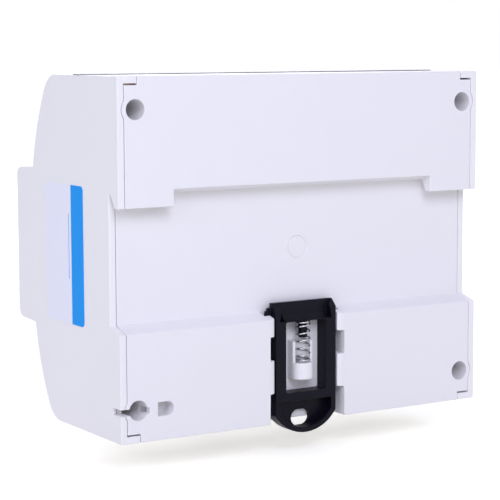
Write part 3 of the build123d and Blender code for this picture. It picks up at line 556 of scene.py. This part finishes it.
label_tree.links.new(label_matt.outputs["Result"], label_shader.inputs["Roughness"])
paint(label_paper, "side_label")

# painted shade: a dark grey strip that stands in for the shadow line along the top edge
top_strip_painted_shade = moulded_plastic("dark_grey_strip_painted_shade", "#43444B", 0.4, 1.57, grain=0.5, depth=0.004, drift=0.06)
paint(top_strip_painted_shade, "top_strip")


# Studio: a plain pale floor below the lowest place of the clip, an even white surround, and three
# soft lamps of a cool white, one behind the meter, one beside it and one in front.

floor_clearance = 0.8 * MM
floor_height = cad_box[0].z - clip_travel - floor_clearance
floor_half = 6.0
floor_mesh = bpy.data.meshes.new("studio_floor")
floor_corners = np.array([(-1, -1), (1, -1), (1, 1), (-1, 1)], float) * floor_half
floor_mesh.from_pydata(
    np.column_stack([floor_corners, np.full(4, floor_height)]), [], [(0, 1, 2, 3)])
floor = bpy.data.objects.new("studio_floor", floor_mesh)
bpy.context.scene.collection.objects.link(floor)
floor_paint = bpy.data.materials.new("studio_paint_white")
floor_paint.use_nodes = True
floor_tree = floor_paint.node_tree
floor_shader = floor_tree.nodes["Principled BSDF"]
floor_shader.inputs["Base Color"].default_value = linear("#FAF8EB")
floor_shader.inputs["Roughness"].default_value = 0.9
floor_shader.inputs["Specular IOR Level"].default_value = 0.0
rays = add_node(floor_tree, "ShaderNodeLightPath")
seen = add_node(
    floor_tree, "ShaderNodeMath", links={0: rays.outputs["Is Camera Ray"], 1: rays.outputs["Is Glossy Ray"]},
    operation="MAXIMUM")
seen_through = add_node(
    floor_tree, "ShaderNodeMath", links={0: seen.outputs[0], 1: rays.outputs["Is Transmission Ray"]},
    operation="MAXIMUM")
# far from the object the floor is lifted to the white of the surround, and the shadow near it stays
floor_reach = add_node(
    floor_tree, "ShaderNodeVectorMath",
    links={0: add_node(floor_tree, "ShaderNodeTexCoord").outputs["Object"]}, operation="LENGTH")
floor_tone = add_node(
    floor_tree, "ShaderNodeMapRange", {"From Min": 0.15, "From Max": 0.8, "To Min": 0.42, "To Max": 0.62},
    {"Value": floor_reach.outputs["Value"]})
lift = add_node(
    floor_tree, "ShaderNodeMath", links={0: seen_through.outputs[0], 1: floor_tone.outputs["Result"]},
    operation="MULTIPLY")
floor_shader.inputs["Emission Color"].default_value = (1.0, 1.0, 1.0, 1.0)
floor_tree.links.new(lift.outputs[0], floor_shader.inputs["Emission Strength"])
floor_mesh.materials.append(floor_paint)

surround = bpy.data.worlds.new("studio_surround")
bpy.context.scene.world = surround
surround.use_nodes = True
world_tree = surround.node_tree
world_rays = add_node(world_tree, "ShaderNodeLightPath")
world_mirrored = add_node(
    world_tree, "ShaderNodeMath",
    links={0: world_rays.outputs["Is Camera Ray"], 1: world_rays.outputs["Is Glossy Ray"]},
    operation="MAXIMUM")
world_seen = add_node(
    world_tree, "ShaderNodeMath",
    links={0: world_mirrored.outputs[0], 1: world_rays.outputs["Is Transmission Ray"]},
    operation="MAXIMUM")
# linear colour of the surround's and the lamps' light, which is a little blue in the photograph
cool_white = np.array((0.80, 0.815, 1.0))
surround_level = 0.575
world_tone = add_node(
    world_tree, "ShaderNodeMix", {"A": (*(surround_level * cool_white), 1.0), "B": (1.0, 1.0, 1.0, 1.0)},
    {"Factor": world_seen.outputs[0]}, data_type="RGBA")
backdrop = world_tree.nodes["Background"]
backdrop.inputs["Strength"].default_value = 1.0
world_tree.links.new(world_tone.outputs["Result"], backdrop.inputs["Color"])

for lamp_name, lamp_place, lamp_energy in (
        ("rear_lamp", (0.30, 0.80, 0.52), 4.5), ("side_lamp", (0.80, 0.35, 0.30), 1.65),
        ("front_lamp", (-0.38, -0.82, 0.48), 3.4)):
    lamp = bpy.data.lights.new(lamp_name, "AREA")
    lamp.shape = "DISK"
    lamp.size = 0.5
    lamp.energy = lamp_energy
    lamp.color = cool_white
    lamp_stand = bpy.data.objects.new(lamp_name, lamp)
    bpy.context.scene.collection.objects.link(lamp_stand)
    lamp_stand.location = lamp_place
    lamp_stand.rotation_mode = "QUATERNION"
    lamp_stand.rotation_quaternion = (-lamp_stand.location).to_track_quat("-Z", "Y")

# the photograph's camera: its place, its right, up and back directions, and its lens
camera = bpy.data.cameras.new("camera")
camera.lens = 127.27
camera.sensor_width = 36.0
camera_right = (-0.85015, 0.52653, -0.00389)
camera_up = (-0.06360, -0.09536, 0.99341)
camera_back = (0.52269, 0.84479, 0.11455)
camera_place = (0.27903, 0.42506, 0.05776)
camera_stand = bpy.data.objects.new("camera", camera)
bpy.context.scene.collection.objects.link(camera_stand)
turn = Matrix((camera_right, camera_up, camera_back)).transposed()
camera_stand.matrix_world = Matrix.Translation(camera_place) @ turn.to_4x4()
bpy.context.scene.camera = camera_stand
bpy.context.scene.view_settings.view_transform = "Standard"
